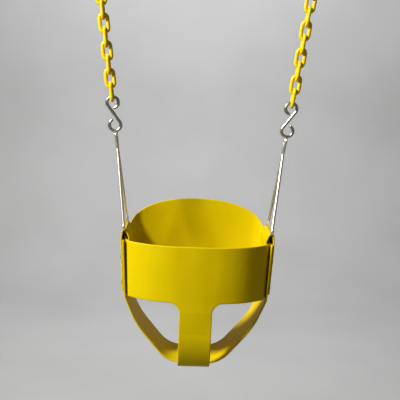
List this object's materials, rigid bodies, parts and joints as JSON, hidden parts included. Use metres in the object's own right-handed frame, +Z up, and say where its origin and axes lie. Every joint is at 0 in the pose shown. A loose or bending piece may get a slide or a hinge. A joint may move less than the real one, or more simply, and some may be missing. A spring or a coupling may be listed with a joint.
{
  "type": "toddler bucket swing",
  "caption": "Full bucket toddler swing: riveted yellow sheet seat with leg openings, rod triangles, S-hooks, coated chains and spring clips.",
  "frame": {"origin": "middle of the hanging line, between the inner tops of the two spring clips where the beam's rings bear", "axes": "+Z up, +X to the right seen from the front, +Y to the back; the seated toddler faces -Y"},
  "size_m": [0.519, 0.22, 0.9381],
  "materials": {
    "yellow_sheet": "moulded, soft gloss",
    "yellow_coat": "thick glossy dipped coat over steel wire",
    "zinc_rod": "bright zinc plate",
    "zinc_clip": "bright zinc plate",
    "rivet": "satin"
  },
  "bodies": {
    "hanger_clips": {"clip_left": "zinc_clip", "clip_right": "zinc_clip", "clip_pin_left": "zinc_clip", "clip_pin_right": "zinc_clip"},
    "gate_left": {"clip_gate_left": "zinc_clip"},
    "gate_right": {"clip_gate_right": "zinc_clip"},
    "chain_row_9": {"chain_link_left_9": "yellow_coat", "chain_link_right_9": "yellow_coat"},
    "chain_row_8": {"chain_link_left_8": "yellow_coat", "chain_link_right_8": "yellow_coat"},
    "chain_row_7": {"chain_link_left_7": "yellow_coat", "chain_link_right_7": "yellow_coat"},
    "chain_row_6": {"chain_link_left_6": "yellow_coat", "chain_link_right_6": "yellow_coat"},
    "chain_row_5": {"chain_link_left_5": "yellow_coat", "chain_link_right_5": "yellow_coat"},
    "chain_row_4": {"chain_link_left_4": "yellow_coat", "chain_link_right_4": "yellow_coat"},
    "chain_row_3": {"chain_link_left_3": "yellow_coat", "chain_link_right_3": "yellow_coat"},
    "chain_row_2": {"chain_link_left_2": "yellow_coat", "chain_link_right_2": "yellow_coat"},
    "chain_row_1": {"chain_link_left_1": "yellow_coat", "chain_link_right_1": "yellow_coat"},
    "s_hooks": {"s_hook_left": "zinc_rod", "s_hook_right": "zinc_rod"},
    "bucket": {"front_panel": "yellow_sheet", "back_panel": "yellow_sheet", "seat_strap": "yellow_sheet", "side_strap_left": "yellow_sheet", "side_strap_right": "yellow_sheet", "side_rivets_left": "rivet", "side_rivets_right": "rivet", "side_washers_left": "rivet", "side_washers_right": "rivet", "seat_rivets": "rivet", "seat_washers": "rivet", "triangle_left": "zinc_rod", "triangle_right": "zinc_rod"}
  },
  "joints": [
    {"name": "swing_top", "type": "hinge", "parent": "hanger_clips", "child": "chain_row_9", "pos_m": [0, 0, -0.063], "axis": [1, 0, 0], "range_deg": [-45, 45]},
    {"name": "chain_joint_8", "type": "hinge", "parent": "chain_row_9", "child": "chain_row_8", "pos_m": [0, 0, -0.08483], "axis": [1, 0, 0], "range_deg": [-12, 12]},
    {"name": "chain_joint_7", "type": "hinge", "parent": "chain_row_8", "child": "chain_row_7", "pos_m": [0, 0, -0.12342], "axis": [1, 0, 0], "range_deg": [-12, 12]},
    {"name": "chain_joint_6", "type": "hinge", "parent": "chain_row_7", "child": "chain_row_6", "pos_m": [0, 0, -0.14455], "axis": [1, 0, 0], "range_deg": [-12, 12]},
    {"name": "chain_joint_5", "type": "hinge", "parent": "chain_row_6", "child": "chain_row_5", "pos_m": [0, 0, -0.18314], "axis": [1, 0, 0], "range_deg": [-12, 12]},
    {"name": "chain_joint_4", "type": "hinge", "parent": "chain_row_5", "child": "chain_row_4", "pos_m": [0, 0, -0.20428], "axis": [1, 0, 0], "range_deg": [-12, 12]},
    {"name": "chain_joint_3", "type": "hinge", "parent": "chain_row_4", "child": "chain_row_3", "pos_m": [0, 0, -0.24287], "axis": [1, 0, 0], "range_deg": [-12, 12]},
    {"name": "chain_joint_2", "type": "hinge", "parent": "chain_row_3", "child": "chain_row_2", "pos_m": [0, 0, -0.264], "axis": [1, 0, 0], "range_deg": [-12, 12]},
    {"name": "chain_joint_1", "type": "hinge", "parent": "chain_row_2", "child": "chain_row_1", "pos_m": [0, 0, -0.3026], "axis": [1, 0, 0], "range_deg": [-12, 12]},
    {"name": "hook_joint", "type": "hinge", "parent": "chain_row_1", "child": "s_hooks", "pos_m": [0, 0, -0.32422], "axis": [1, 0, 0], "range_deg": [-15, 15]},
    {"name": "bucket_joint", "type": "hinge", "parent": "s_hooks", "child": "bucket", "pos_m": [0, 0, -0.40022], "axis": [1, 0, 0], "range_deg": [-30, 30]},
    {"name": "gate_hinge_left", "type": "hinge", "parent": "hanger_clips", "child": "gate_left", "pos_m": [-0.25195, 0, -0.04287], "axis": [0, 1, 0], "range_deg": [0, 22], "stiffness_Nm_per_rad": 0.05, "springref_deg": -5.73},
    {"name": "gate_hinge_right", "type": "hinge", "parent": "hanger_clips", "child": "gate_right", "pos_m": [0.25195, 0, -0.04287], "axis": [0, -1, 0], "range_deg": [0, 22], "stiffness_Nm_per_rad": 0.05, "springref_deg": -5.73}
  ]
}
